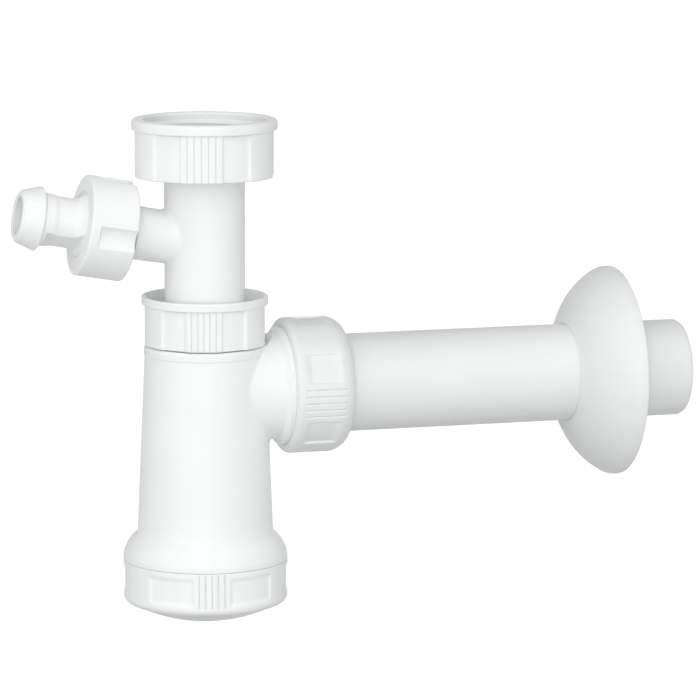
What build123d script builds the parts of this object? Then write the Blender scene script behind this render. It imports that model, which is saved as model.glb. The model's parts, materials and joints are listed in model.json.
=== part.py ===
from build123d import *
import os
from math import cos, degrees, radians, sin

# Bottle trap for a sink: inlet nut, dip tube with a hose branch, bottle with a screw cup,
# straight outlet pipe and wall rosette. All sizes are millimetres.
# The origin is the centre of the inlet thread's mouth, +Z up along the dip tube, +X along the outlet.

# Clearances
turn_gap = 0.3
seat_gap = 0.2
edge_break = 0.6

# Screw threads are cut as plain walls: a nut's wall at the crest, a spigot's wall at the root.
coarse_thread_depth = 1.2

# Dip tube with its retaining bead
tube_d = 32.5
tube_wall = 2.1
tube_end_z = -176.0
tube_bead_rise = 0.85
tube_bead_h = 1.3

# Inlet nut, open upwards
inlet_thread_d = 47.8
inlet_thread_len = 11.5
inlet_entry_h = 3.5
inlet_entry_step = 0.6
inlet_nut_wall = 4.5
inlet_bead_rise = 1.0
inlet_bead_h = 4.4
inlet_chamber_step = 0.7
inlet_lip_h = 3.3
inlet_gasket_h = 4.4

# Hose branch
branch_z = -46.7
branch_tilt = 10.0
branch_d = 20.6
branch_end_d = 21.8
branch_bore_d = 16.0
branch_len = 45.0
branch_thread_d = 33.25
branch_thread_depth = 1.5
branch_thread_len = 8.6
branch_flare_len = 3.4
branch_fillet = 1.5

# Hose nut and hose tail
hose_nut_len = 19.4
hose_nut_wall = 3.4
hose_lip_h = 3.0
hose_scoop_count = 4
hose_scoop_r = 7.0
hose_scoop_depth = 2.1
hose_scoop_rim = 4.2
hose_scoop_turn = -5.5
hose_washer_h = 1.7
hose_flange_h = 2.1
tail_root_d = 26.4
tail_neck_d = 20.2
tail_ring_d = 21.7
tail_barb_d = 26.0
tail_tip_d = 21.3
tail_bore_d = 15.2
tail_flare_len = 5.2
tail_flare_bow = 0.81
tail_neck_len = 6.6
tail_ring_len = 4.2
tail_step_len = 1.2
tail_barb_len = 8.4
tail_tip_round = 1.0
tail_flat_depth = 1.5
tail_flat_turn = -60.0
tail_tooth_len = 1.0

# Bottle
bottle_top_z = -88.2
bottle_top_d = 48.9
bottle_low_d = 55.2
bottle_low_z = -165.0
bottle_wall = 2.3
bottle_shoulder_r = 1.5
shoulder_ring_h = 3.5
shoulder_ring_rise = 0.3
neck_thread_d = 43.4
neck_h = 6.7
neck_bore_gap = 0.75
mouth_depth = 3.6
mouth_rise = 2.0
skirt_d = 66.8
skirt_top_z = -174.0
skirt_bulge = 1.0
skirt_end_z = -175.8

# Body nut, pressing the cone seal round the dip tube
body_nut_h = 19.7
body_nut_wall = 2.8
body_bead_rise = 0.8
body_bead_h = 3.5
body_lip_h = 3.0
body_funnel_h = 6.3
body_rim_w = 1.2
seal_flange_h = 2.0
seal_tip = 0.6
seal_collar_wall = 1.7
seal_collar_h = 5.6
slip_ring_h = 1.5

# Outlet stub, nut, pipe and rosette
outlet_z = -106.5
outlet_d = 40.0
outlet_wall = 2.2
outlet_end_x = 204.2
outlet_tip = 1.5
spigot_len = 30.2
spigot_mark_w = 1.2
spigot_mark_depth = 0.5
stub_d = 43.0
stub_bore_d = 32.0
stub_end_x = 49.0
stub_socket_len = 13.0
stub_socket_gap = 0.4
stub_thread_len = 17.0
stub_collar_w = 1.8
stub_step_len = 1.7
stub_fillet = 2.0
stub_slope_rise = 8.2
stub_slope_run = 6.3
outlet_nut_wall = 3.2
outlet_nut_len = 24.5
outlet_nut_tip = 6.0
outlet_nut_tip_drop = 3.3
outlet_nut_tip_bow = 0.64
outlet_nut_back_r = 2.4
outlet_lip_h = 3.2
rosette_d = 86.8
rosette_neck_x = 154.3
rosette_depth = 21.3
rosette_rim_w = 3.6
rosette_wall = 1.6
rosette_bulge = 2.9

# Bottom cup
cup_d = 66.9
cup_bottom_z = -201.2
cup_edge_z = -193.8
cup_edge_r = 3.2
cup_wall = 2.6
cup_thread_d = 59.6
cup_spigot_len = 10.3
cup_spigot_wall = 2.6
cup_gasket_h = 2.0

# Grip pattern round the nuts and the cup
grip_count = 6
pocket_depth = 1.0
nut_pocket_angle = 25.0
cup_pocket_angle = 33.0
grip_band = 2.5
inlet_grip_turn = -107.0
body_grip_turn = -105.5
cup_grip_turn = -99.9
outlet_grip_turn = 7.6
rib_groove_count = 5
rib_groove_w = 0.6
rib_groove_depth = 0.4


def turned(*steps):
    """Solid turned about Z. A step is the next (radius, height) of the half section, or a pair of
    them: a point that a round stretch passes and the point where it ends."""
    edges = []
    here = steps[0]
    for step in steps[1:] + (steps[0],):
        if isinstance(step[0], tuple):
            edges.append(ThreePointArc(here, step[0], step[1]))
            here = step[1]
        else:
            edges.append(Line(here, step))
            here = step
    return revolve(Plane.XZ * make_face(edges), Axis.Z)


def bowed(start, end, bulge):
    """Round step of a half section: the middle of its chord pushed out by bulge, and its end."""
    run_r = end[0] - start[0]
    run_h = end[1] - start[1]
    chord = (run_r * run_r + run_h * run_h) ** 0.5
    middle_r = (start[0] + end[0]) / 2 + bulge * run_h / chord
    middle_h = (start[1] + end[1]) / 2 - bulge * run_r / chord
    return (middle_r, middle_h), end


def tube(outer_r, inner_r, low, high):
    """Plain ring between two heights."""
    return turned((inner_r, low), (outer_r, low), (outer_r, high), (inner_r, high))


def pockets(count, turn, angle, floor_r, outer_r, low, high):
    """Shallow pockets in a grip, half a pitch away from the pads at turn."""
    pitch = 360 / count
    section = Plane.XZ * make_face(
        Polyline((floor_r, low), (outer_r, low), (outer_r, high), (floor_r, high), close=True)
    )
    sector = revolve(section, Axis.Z, angle)
    return [Rot(0, 0, turn + pitch * (i + 0.5) - angle / 2) * sector for i in range(count)]


def rib_grooves(turn, pocket_angle, outer_r, low, high):
    """Fine grooves that split every other pad of a grip into ribs."""
    grip_pitch = 360 / grip_count
    rib_pitch = (grip_pitch - pocket_angle) / (rib_groove_count + 1)
    floor_r = outer_r - rib_groove_depth
    rim_r = outer_r + rib_groove_depth
    section = Plane.XZ * make_face(
        Polyline((floor_r, low), (rim_r, low), (rim_r, high), (floor_r, high), close=True)
    )
    width = degrees(rib_groove_w / outer_r)
    groove = revolve(section, Axis.Z, width)
    first = turn - rib_pitch * (rib_groove_count - 1) / 2 - width / 2
    return [
        Rot(0, 0, first + grip_pitch * pad + rib_pitch * rib) * groove
        for pad in range(0, grip_count, 2)
        for rib in range(rib_groove_count)
    ]


def cone_seal(bore_r, flange_r, mouth_r):
    """Seal with its flange's lower face at height 0 and its cone below, in a pipe mouth."""
    cone_r = mouth_r - turn_gap
    tip_r = bore_r + seal_tip
    tip_h = (tip_r - cone_r) * mouth_depth / mouth_rise
    return turned(
        (bore_r, tip_h),
        (tip_r, tip_h),
        (cone_r, 0),
        (flange_r, 0),
        (flange_r, seal_flange_h),
        (bore_r, seal_flange_h),
    )


# Share of a quarter round's radius that its middle lies inside the corner.
corner_share = 1 - sin(radians(45))

# Frames of the two side axes: local +Z leaves the trap, local +X faces the front.
outlet_frame = Plane(origin=(0, 0, outlet_z), x_dir=(0, -1, 0), z_dir=(1, 0, 0))
branch_dir = (-cos(radians(branch_tilt)), 0, sin(radians(branch_tilt)))
branch_frame = Plane(origin=(0, 0, branch_z), x_dir=(0, -1, 0), z_dir=branch_dir)

# Inlet end: the nut's lip bears on a gasket that sits under the tube's bead.
tube_r = tube_d / 2
tube_bore_r = tube_r - tube_wall
bead_r = tube_r + tube_bead_rise
inlet_bore_r = inlet_thread_d / 2
inlet_pad_r = inlet_bore_r + inlet_nut_wall
inlet_bead_r = inlet_pad_r + inlet_bead_rise
inlet_chamber_r = inlet_bore_r + inlet_chamber_step
inlet_entry_r = inlet_bore_r + inlet_entry_step
tube_top_z = -inlet_thread_len - 2 * seat_gap
gasket_low_z = tube_top_z - inlet_gasket_h
lip_top_z = gasket_low_z - seat_gap
inlet_low_z = lip_top_z - inlet_lip_h
lip_bore_r = bead_r + turn_gap


def inlet_nut():
    """Union nut with its mouth upwards, a bead round the mouth and grip pads below it."""
    bead_low_z = inlet_entry_h - inlet_bead_h
    body = turned(
        (lip_bore_r, inlet_low_z),
        (inlet_pad_r - edge_break, inlet_low_z),
        (inlet_pad_r, inlet_low_z + edge_break),
        (inlet_pad_r, bead_low_z),
        (inlet_bead_r, bead_low_z + edge_break),
        (inlet_bead_r, inlet_entry_h - edge_break),
        (inlet_bead_r - edge_break, inlet_entry_h),
        (inlet_entry_r, inlet_entry_h),
        (inlet_entry_r, inlet_entry_step),
        (inlet_bore_r, 0),
        (inlet_bore_r, -inlet_thread_len),
        (inlet_chamber_r, -inlet_thread_len),
        (inlet_chamber_r, lip_top_z),
        (lip_bore_r, lip_top_z),
    )
    floor_r = inlet_pad_r - pocket_depth
    cuts = pockets(
        grip_count, inlet_grip_turn, nut_pocket_angle, floor_r, inlet_bead_r, inlet_low_z, bead_low_z
    )
    return body - cuts - rib_grooves(inlet_grip_turn, nut_pocket_angle, inlet_pad_r, inlet_low_z, bead_low_z)


def inlet_gasket():
    """Gasket collar stretched over the tube's bead."""
    outer_r = inlet_chamber_r - turn_gap
    bead_low_z = tube_top_z - tube_bead_h
    return turned(
        (tube_r, gasket_low_z),
        (outer_r, gasket_low_z),
        (outer_r, tube_top_z),
        (bead_r, tube_top_z),
        (bead_r, bead_low_z),
        (tube_r, bead_low_z),
    )


# Hose branch: lengths run along the branch axis from the tube's axis.
branch_root_r = branch_thread_d / 2 - branch_thread_depth
branch_thread_start = branch_len - branch_thread_len
branch_flare_start = branch_thread_start - branch_flare_len
washer_end = branch_len + seat_gap + hose_washer_h
flange_end = washer_end + hose_flange_h
hose_lip_start = flange_end + seat_gap
hose_nut_end = hose_lip_start + hose_lip_h
hose_nut_start = hose_nut_end - hose_nut_len
hose_bore_r = branch_thread_d / 2 + turn_gap
hose_nut_r = hose_bore_r + hose_nut_wall
tail_root_r = tail_root_d / 2
tail_neck_r = tail_neck_d / 2
hose_lip_r = tail_root_r + turn_gap


def inlet_tee():
    """Dip tube with its end bead and the moulded hose branch."""
    bead_low_z = tube_top_z - tube_bead_h
    outside = turned(
        (0, tube_end_z),
        (tube_r, tube_end_z),
        (tube_r, bead_low_z),
        (bead_r, bead_low_z),
        (bead_r, tube_top_z),
        (0, tube_top_z),
    )
    branch = branch_frame * turned(
        (0, 0),
        (branch_d / 2, 0),
        (branch_end_d / 2, branch_flare_start),
        (branch_root_r, branch_thread_start),
        (branch_root_r, branch_len - edge_break),
        (branch_root_r - edge_break, branch_len),
        (0, branch_len),
    )
    bore = Pos(0, 0, tube_end_z) * Cylinder(
        tube_bore_r, tube_top_z - tube_end_z, align=(Align.CENTER, Align.CENTER, Align.MIN)
    )
    branch_bore = branch_frame * Cylinder(
        branch_bore_d / 2, branch_len, align=(Align.CENTER, Align.CENTER, Align.MIN)
    )
    joined = outside + branch
    seam = new_edges(outside, branch, combined=joined)
    return fillet(seam, branch_fillet) - bore - branch_bore


def hose_washer():
    """Flat washer between the branch's end and the hose tail's flange."""
    ring = tube(hose_bore_r - turn_gap, branch_bore_d / 2, branch_len + seat_gap, washer_end)
    return branch_frame * ring


def hose_tail():
    """Barbed hose tail: flange, flare, waisted neck with two spanner flats, ring and barb."""
    flare_start = hose_nut_end + seat_gap
    neck_start = flare_start + tail_flare_len
    ring_start = neck_start + tail_neck_len
    ring_end = ring_start + tail_ring_len
    barb_start = ring_end + tail_step_len
    tip = barb_start + tail_barb_len
    ring_r = tail_ring_d / 2
    body = turned(
        (tail_bore_d / 2, washer_end),
        (hose_bore_r - turn_gap, washer_end),
        (hose_bore_r - turn_gap, flange_end),
        (tail_root_r, flange_end),
        (tail_root_r, flare_start),
        bowed((tail_root_r, flare_start), (tail_neck_r, neck_start), -tail_flare_bow),
        (tail_neck_r, ring_start - edge_break),
        (ring_r, ring_start),
        (ring_r, ring_end),
        (tail_barb_d / 2, barb_start),
        (tail_tip_d / 2, tip - tail_tip_round),
        (tail_tip_d / 2 - tail_tip_round, tip),
        (tail_bore_d / 2, tip),
    )
    flat_low = flare_start
    flat_high = ring_end - tail_tooth_len
    flat_at = tail_neck_r - tail_flat_depth
    side = Pos(flat_at, 0, flat_low) * Box(
        tail_root_r, tail_root_d, flat_high - flat_low, align=(Align.MIN, Align.CENTER, Align.MIN)
    )
    body -= [Rot(0, 0, tail_flat_turn + half) * side for half in (0, 180)]
    return branch_frame * body


def hose_nut():
    """Union nut of the hose tail, open towards the branch, with round scoops for the fingers."""
    body = turned(
        (hose_bore_r, hose_nut_start),
        (hose_nut_r - edge_break, hose_nut_start),
        (hose_nut_r, hose_nut_start + edge_break),
        (hose_nut_r, hose_nut_end - edge_break),
        (hose_nut_r - edge_break, hose_nut_end),
        (hose_lip_r, hose_nut_end),
        (hose_lip_r, hose_lip_start),
        (hose_bore_r, hose_lip_start),
    )
    scoop_at = hose_nut_r - hose_scoop_depth + hose_scoop_r
    scoop = Pos(scoop_at, 0, hose_nut_start) * Cylinder(
        hose_scoop_r, hose_nut_len - hose_scoop_rim, align=(Align.CENTER, Align.CENTER, Align.MIN)
    )
    pitch = 360 / hose_scoop_count
    body -= [Rot(0, 0, hose_scoop_turn + pitch * i) * scoop for i in range(hose_scoop_count)]
    return branch_frame * body


# Bottle neck and its nut: the nut's lip presses the slip ring, the ring the seal, the seal the neck.
neck_bore_r = tube_r + neck_bore_gap
neck_root_r = neck_thread_d / 2 - coarse_thread_depth
neck_top_z = bottle_top_z + neck_h
body_bore_r = neck_thread_d / 2 + turn_gap
body_pad_r = body_bore_r + body_nut_wall
body_bead_r = body_pad_r + body_bead_rise
seal_flange_z = neck_top_z + seat_gap
slip_ring_z = seal_flange_z + seal_flange_h + seat_gap
body_lip_z = slip_ring_z + slip_ring_h + seat_gap
body_nut_top_z = body_lip_z + body_lip_h + body_funnel_h
body_nut_low_z = body_nut_top_z - body_nut_h
seal_bore_r = tube_r + turn_gap
seal_collar_r = seal_bore_r + seal_collar_wall
body_lip_r = seal_collar_r + 2 * turn_gap


def body_seal():
    """Cone seal round the dip tube, with a collar that rises through the nut."""
    seal = cone_seal(seal_bore_r, neck_root_r - turn_gap, neck_bore_r + mouth_rise)
    collar = tube(seal_collar_r, seal_bore_r, seal_flange_h, seal_flange_h + seal_collar_h)
    return Pos(0, 0, seal_flange_z) * (seal + collar)


def body_slip_ring():
    """Thin hard ring that lets the nut turn without twisting the seal."""
    return tube(
        body_bore_r - turn_gap, seal_collar_r + turn_gap, slip_ring_z, slip_ring_z + slip_ring_h
    )


def body_nut():
    """Union nut with a funnel-shaped top round the dip tube."""
    bead_low_z = body_nut_top_z - body_bead_h
    body = turned(
        (body_bore_r, body_nut_low_z),
        (body_pad_r - edge_break, body_nut_low_z),
        (body_pad_r, body_nut_low_z + edge_break),
        (body_pad_r, bead_low_z),
        (body_bead_r, bead_low_z + edge_break),
        (body_bead_r, body_nut_top_z - edge_break),
        (body_bead_r - edge_break, body_nut_top_z),
        (body_bead_r - body_rim_w, body_nut_top_z),
        (body_lip_r + body_rim_w, body_lip_z + body_lip_h),
        (body_lip_r, body_lip_z + body_lip_h),
        (body_lip_r, body_lip_z),
        (body_bore_r, body_lip_z),
    )
    floor_r = body_pad_r - pocket_depth
    cuts = pockets(
        grip_count, body_grip_turn, nut_pocket_angle, floor_r, body_bead_r, body_nut_low_z, bead_low_z
    )
    return body - cuts - rib_grooves(body_grip_turn, nut_pocket_angle, body_pad_r, body_nut_low_z, bead_low_z)


# Outlet stub and its nut: lengths run along +X from the bottle's axis.
outlet_r = outlet_d / 2
stub_thread_root_r = outlet_r + stub_socket_gap + mouth_rise + edge_break
stub_thread_r = stub_thread_root_r + coarse_thread_depth
socket_r = outlet_r + stub_socket_gap
socket_x = stub_end_x - stub_socket_len
stub_thread_x = stub_end_x - stub_thread_len
stub_collar_x = stub_thread_x - stub_collar_w
outlet_bore_r = stub_thread_r + turn_gap
outlet_pad_r = outlet_bore_r + outlet_nut_wall
outlet_flange_x = stub_end_x + seat_gap
outlet_ring_x = outlet_flange_x + seal_flange_h + seat_gap
outlet_lip_x = outlet_ring_x + slip_ring_h + seat_gap
outlet_nut_x = outlet_lip_x + outlet_lip_h
outlet_lip_r = outlet_r + 2 * turn_gap

# Lower end of the bottle: a flared skirt over the cup, and the cup's threaded spigot.
spigot_root_r = cup_thread_d / 2 - coarse_thread_depth
spigot_end_z = skirt_end_z - cup_spigot_len
cup_bore_r = cup_thread_d / 2 + turn_gap
cup_top_z = skirt_end_z - seat_gap
cup_seat_z = spigot_end_z - seat_gap - cup_gasket_h
cup_r = cup_d / 2
spigot_bore_r = spigot_root_r - cup_spigot_wall

# Tapered wall of the bottle, up to its shoulder ring
taper_low_r = bottle_low_d / 2
taper_top_r = bottle_top_d / 2
taper_top_z = bottle_top_z - shoulder_ring_h - shoulder_ring_rise


def bottle_outside():
    """Neck, shoulder ring, tapered wall, bulging skirt and threaded spigot as one turned solid."""
    skirt_r = skirt_d / 2
    ring_r = taper_top_r + shoulder_ring_rise
    ring_z = bottle_top_z - shoulder_ring_h
    shoulder_mid = bottle_shoulder_r * corner_share
    return turned(
        (0, spigot_end_z),
        (spigot_root_r - edge_break, spigot_end_z),
        (spigot_root_r, spigot_end_z + edge_break),
        (spigot_root_r, skirt_end_z),
        (skirt_r, skirt_end_z),
        (skirt_r, skirt_top_z),
        bowed((skirt_r, skirt_top_z), (taper_low_r, bottle_low_z), skirt_bulge),
        (taper_top_r, taper_top_z),
        (ring_r, ring_z),
        (ring_r, bottle_top_z - bottle_shoulder_r),
        ((ring_r - shoulder_mid, bottle_top_z - shoulder_mid), (ring_r - bottle_shoulder_r, bottle_top_z)),
        (neck_root_r, bottle_top_z),
        (neck_root_r, neck_top_z - edge_break),
        (neck_root_r - edge_break, neck_top_z),
        (0, neck_top_z),
    )


def bottle_inside():
    """Cavity of the bottle: spigot bore, tapered wall, neck bore and the seal's cone seat."""
    roof_z = bottle_top_z - bottle_wall
    top_r = taper_top_r - bottle_wall
    low_r = taper_low_r - bottle_wall
    return turned(
        (0, spigot_end_z),
        (spigot_bore_r, spigot_end_z),
        (low_r, bottle_low_z),
        (top_r, roof_z),
        (neck_bore_r, roof_z),
        (neck_bore_r, neck_top_z - mouth_depth),
        (neck_bore_r + mouth_rise, neck_top_z),
        (0, neck_top_z),
    )


def outlet_stub():
    """Outlet stub with its collar and thread wall, from the bottle's axis outwards."""
    return outlet_frame * turned(
        (0, 0),
        (stub_d / 2, 0),
        (stub_d / 2, stub_collar_x - stub_step_len),
        (stub_thread_r, stub_collar_x),
        (stub_thread_r, stub_thread_x),
        (stub_thread_root_r, stub_thread_x),
        (stub_thread_root_r, stub_end_x - edge_break),
        (stub_thread_root_r - edge_break / 2, stub_end_x),
        (0, stub_end_x),
    )


def stub_root(stub):
    """Tapered wall with a round root where the stub leaves it, up to the shoulder ring."""
    above_z = outlet_z + stub_d
    lean = (taper_top_r - taper_low_r) / (taper_top_z - bottle_low_z)
    above_r = taper_low_r + lean * (above_z - bottle_low_z)
    taper = turned((0, bottle_low_z), (taper_low_r, bottle_low_z), (above_r, above_z), (0, above_z))
    seam = new_edges(taper, stub, combined=taper + stub)
    shoulder = Pos(0, 0, taper_top_z) * Cylinder(
        2 * stub_end_x, stub_d, align=(Align.CENTER, Align.CENTER, Align.MIN)
    )
    return fillet(seam, stub_fillet) - shoulder


def bottle():
    """Bottle with the outlet stub; the stub's top slopes away under the body nut."""
    stub = outlet_stub()
    slope_start = body_pad_r + turn_gap
    slope = turned(
        (0, bottle_top_z),
        (slope_start, bottle_top_z),
        (slope_start + stub_slope_run, bottle_top_z + stub_slope_rise),
        (0, bottle_top_z + stub_slope_rise),
    )
    passage = outlet_frame * turned(
        (0, 0),
        (stub_bore_d / 2, 0),
        (stub_bore_d / 2, socket_x),
        (socket_r, socket_x),
        (socket_r, stub_end_x - mouth_depth),
        (socket_r + mouth_rise, stub_end_x),
        (0, stub_end_x),
    )
    return bottle_outside() + (stub - slope) + stub_root(stub) - bottle_inside() - passage


def outlet_seal():
    """Cone seal round the outlet pipe, in the stub's mouth."""
    seal = cone_seal(outlet_r + turn_gap, stub_thread_root_r - turn_gap, socket_r + mouth_rise)
    return outlet_frame * Pos(0, 0, outlet_flange_x) * seal


def outlet_slip_ring():
    """Thin hard ring between the outlet nut and its seal."""
    ring = tube(
        outlet_bore_r - turn_gap, outlet_r + turn_gap, outlet_ring_x, outlet_ring_x + slip_ring_h
    )
    return outlet_frame * ring


def outlet_nut():
    """Union nut of the outlet, with closed grip pockets, a round back edge and a bowed outer end."""
    start = outlet_nut_x - outlet_nut_len
    wall_start = start + outlet_nut_back_r
    wall_end = outlet_nut_x - outlet_nut_tip
    back_mid = outlet_nut_back_r * corner_share
    body = turned(
        (outlet_bore_r, start),
        (outlet_pad_r - outlet_nut_back_r, start),
        ((outlet_pad_r - back_mid, start + back_mid), (outlet_pad_r, wall_start)),
        (outlet_pad_r, wall_end),
        bowed(
            (outlet_pad_r, wall_end),
            (outlet_pad_r - outlet_nut_tip_drop, outlet_nut_x),
            outlet_nut_tip_bow,
        ),
        (outlet_lip_r, outlet_nut_x),
        (outlet_lip_r, outlet_lip_x),
        (outlet_bore_r, outlet_lip_x),
    )
    floor_r = outlet_pad_r - pocket_depth
    low = wall_start + grip_band
    cuts = pockets(
        grip_count, outlet_grip_turn, nut_pocket_angle, floor_r, outlet_pad_r + pocket_depth, low, wall_end
    )
    rib_start = wall_start + edge_break
    rib_end = wall_end + grip_band
    ribs = rib_grooves(outlet_grip_turn, nut_pocket_angle, outlet_pad_r, rib_start, rib_end)
    return outlet_frame * (body - cuts - ribs)


def outlet_pipe():
    """Straight outlet pipe; a fine ring groove marks how far the spigot goes into the wall."""
    start = socket_x + turn_gap
    mark_end = outlet_end_x - spigot_len
    mark_start = mark_end - spigot_mark_w
    bore_r = outlet_r - outlet_wall
    pipe = turned(
        (bore_r, start),
        (outlet_r - edge_break, start),
        (outlet_r, start + edge_break),
        (outlet_r, mark_start),
        (outlet_r - spigot_mark_depth, mark_start),
        (outlet_r - spigot_mark_depth, mark_end),
        (outlet_r, mark_end),
        (outlet_r, outlet_end_x - outlet_tip),
        (outlet_r - outlet_tip / 2, outlet_end_x),
        (bore_r, outlet_end_x),
    )
    return outlet_frame * pipe


def rosette():
    """Bell-shaped wall rosette, a thin shell open towards the wall."""
    hole_r = outlet_r + turn_gap
    neck_r = hole_r + rosette_wall / 2
    rim_r = rosette_d / 2
    end = rosette_neck_x + rosette_depth
    shoulder = end - rosette_rim_w
    neck = (neck_r, rosette_neck_x)
    bell_end = (rim_r, shoulder)
    inner_mid, _ = bowed(neck, bell_end, rosette_bulge - rosette_wall)
    shell = turned(
        (hole_r, rosette_neck_x),
        neck,
        bowed(neck, bell_end, rosette_bulge),
        (rim_r, end - edge_break),
        (rim_r - edge_break, end),
        (rim_r - rosette_wall, end),
        (rim_r - rosette_wall, shoulder),
        (inner_mid, (hole_r, rosette_neck_x + 2 * rosette_wall)),
    )
    return outlet_frame * shell


def cup_gasket():
    """Flat ring between the cup's seat and the bottle's spigot."""
    return tube(cup_bore_r - turn_gap, spigot_bore_r, cup_seat_z, cup_seat_z + cup_gasket_h)


def bottom_cup():
    """Screw cup with a domed bottom, a seat for the gasket and closed grip pockets."""
    edge_r = cup_r - cup_edge_r
    round_mid = cup_edge_r * corner_share
    dome = cup_edge_z - cup_bottom_z
    dome_sphere_r = (edge_r**2 + dome**2) / (2 * dome)
    half_r = edge_r / 2
    half_z = cup_bottom_z + dome_sphere_r - (dome_sphere_r**2 - half_r**2) ** 0.5
    well_r = spigot_bore_r - turn_gap
    inner_sphere_r = dome_sphere_r - cup_wall
    inner_bottom_z = cup_bottom_z + cup_wall
    well_z = inner_bottom_z + inner_sphere_r - (inner_sphere_r**2 - well_r**2) ** 0.5
    mid_r = well_r / 2
    mid_z = inner_bottom_z + inner_sphere_r - (inner_sphere_r**2 - mid_r**2) ** 0.5
    body = turned(
        (0, cup_bottom_z),
        ((half_r, half_z), (edge_r, cup_edge_z)),
        ((cup_r - round_mid, cup_edge_z + round_mid), (cup_r, cup_edge_z + cup_edge_r)),
        (cup_r, cup_top_z - edge_break),
        (cup_r - edge_break, cup_top_z),
        (cup_bore_r, cup_top_z),
        (cup_bore_r, cup_seat_z),
        (well_r, cup_seat_z),
        (well_r, well_z),
        ((mid_r, mid_z), (0, inner_bottom_z)),
    )
    floor_r = cup_r - pocket_depth
    wall_low_z = cup_edge_z + cup_edge_r
    cuts = pockets(
        grip_count,
        cup_grip_turn,
        cup_pocket_angle,
        floor_r,
        cup_r + pocket_depth,
        wall_low_z + grip_band / 2,
        cup_top_z - grip_band,
    )
    rib_top_z = cup_top_z - edge_break
    return body - cuts - rib_grooves(cup_grip_turn, cup_pocket_angle, cup_r, wall_low_z, rib_top_z)


pieces = [
    inlet_nut,
    inlet_gasket,
    inlet_tee,
    hose_washer,
    hose_tail,
    hose_nut,
    body_seal,
    body_slip_ring,
    body_nut,
    bottle,
    outlet_seal,
    outlet_slip_ring,
    outlet_nut,
    outlet_pipe,
    rosette,
    cup_gasket,
    bottom_cup,
]

os.makedirs("parts", exist_ok=True)
for piece in pieces:
    export_step(piece(), f"parts/{piece.__name__}.step")
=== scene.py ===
# %% [markdown]
# # A white bottle trap for a sink
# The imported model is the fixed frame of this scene: every length below is in the same frame, with the
# centre of the inlet mouth at the origin, +Z up along the dip tube and +X along the outlet pipe.
# The lesson dresses that frame. Screw nuts, cup, hose tail, pipe and rosette become fine turned
# surfaces with rounded edges, grips and real threads. Tee, bottle and seals keep their own solids.

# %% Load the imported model
import json
import bpy
import numpy as np
from mathutils import Matrix, Vector


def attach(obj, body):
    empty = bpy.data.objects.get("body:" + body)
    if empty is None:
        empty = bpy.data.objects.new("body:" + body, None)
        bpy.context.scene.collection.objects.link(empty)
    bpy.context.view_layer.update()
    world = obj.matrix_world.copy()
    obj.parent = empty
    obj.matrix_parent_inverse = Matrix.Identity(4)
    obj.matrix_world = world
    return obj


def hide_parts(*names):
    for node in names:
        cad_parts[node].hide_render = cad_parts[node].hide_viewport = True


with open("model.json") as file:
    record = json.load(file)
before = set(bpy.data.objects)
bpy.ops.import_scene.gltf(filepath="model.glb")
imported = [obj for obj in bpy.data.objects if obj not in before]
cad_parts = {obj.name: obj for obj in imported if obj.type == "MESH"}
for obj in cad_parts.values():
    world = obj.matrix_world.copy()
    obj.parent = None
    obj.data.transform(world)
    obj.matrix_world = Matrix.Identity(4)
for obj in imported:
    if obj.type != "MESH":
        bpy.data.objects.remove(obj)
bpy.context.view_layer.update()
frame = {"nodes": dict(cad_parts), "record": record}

nodes = frame["nodes"]
scene = bpy.context.scene

# %% [markdown]
# ## Three axes
# The trap is turned work on three axes: the upright dip tube, the outlet and the tilted hose branch.
# A piece could be drawn upright and then turned as an object, but here it is drawn in millimetres on its
# own axis and carried to its place by one small table of directions. Writing the place into the mesh
# keeps each object at the origin, as the frame's nodes are.

# %% Frames of the three axes
outlet_z = -106.5
branch_z = -46.7
branch_tilt = np.radians(10.0)


def axis_frame(origin, along, face):
    """Origin and three directions as rows: face is local x, along is local z, and y completes them."""
    along, face = np.array(along, float), np.array(face, float)
    return np.array(origin, float), np.stack([face, np.cross(along, face), along])


upright = axis_frame((0, 0, 0), (0, 0, 1), (1, 0, 0))
outlet = axis_frame((0, 0, outlet_z), (1, 0, 0), (0, -1, 0))
branch = axis_frame((0, 0, branch_z), (-np.cos(branch_tilt), 0, np.sin(branch_tilt)), (0, -1, 0))
print("branch runs along", branch[1][2].round(3))

# %% [markdown]
# ## Rounded corners
# A moulded edge is never sharp: a small round catches the light and draws the shape. A Bevel modifier
# could add it afterwards, but it would also round the thread. So the arcs are worked out in the section
# itself, and each arc says whether it bulges or hollows, which the finish uses later.

# %% Arcs
ARC_STEPS = 5
KEEN_ROUND = 0.8
UNDIVIDED = 9


def bow(a, m, b, count=9):
    """Corners on the circle through a, m and b: the centre is where the perpendicular bisectors of the
    two chords meet, and the angle runs evenly from a over m to b."""
    a, m, b = (np.array(p, float) for p in (a, m, b))
    rows = 2 * np.array([m - a, b - m])
    centre = np.linalg.solve(rows, [m @ m - a @ a, b @ b - m @ m])
    angles = np.unwrap([np.arctan2(*(p - centre)[::-1]) for p in (a, m, b)])
    sweep = np.interp(np.linspace(0, 2, count), [0, 1, 2], angles)
    radius = np.linalg.norm(a - centre)
    points = centre + radius * np.stack([np.cos(sweep), np.sin(sweep)], 1)
    return [(r, h, 0, UNDIVIDED) for r, h in points]


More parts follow.
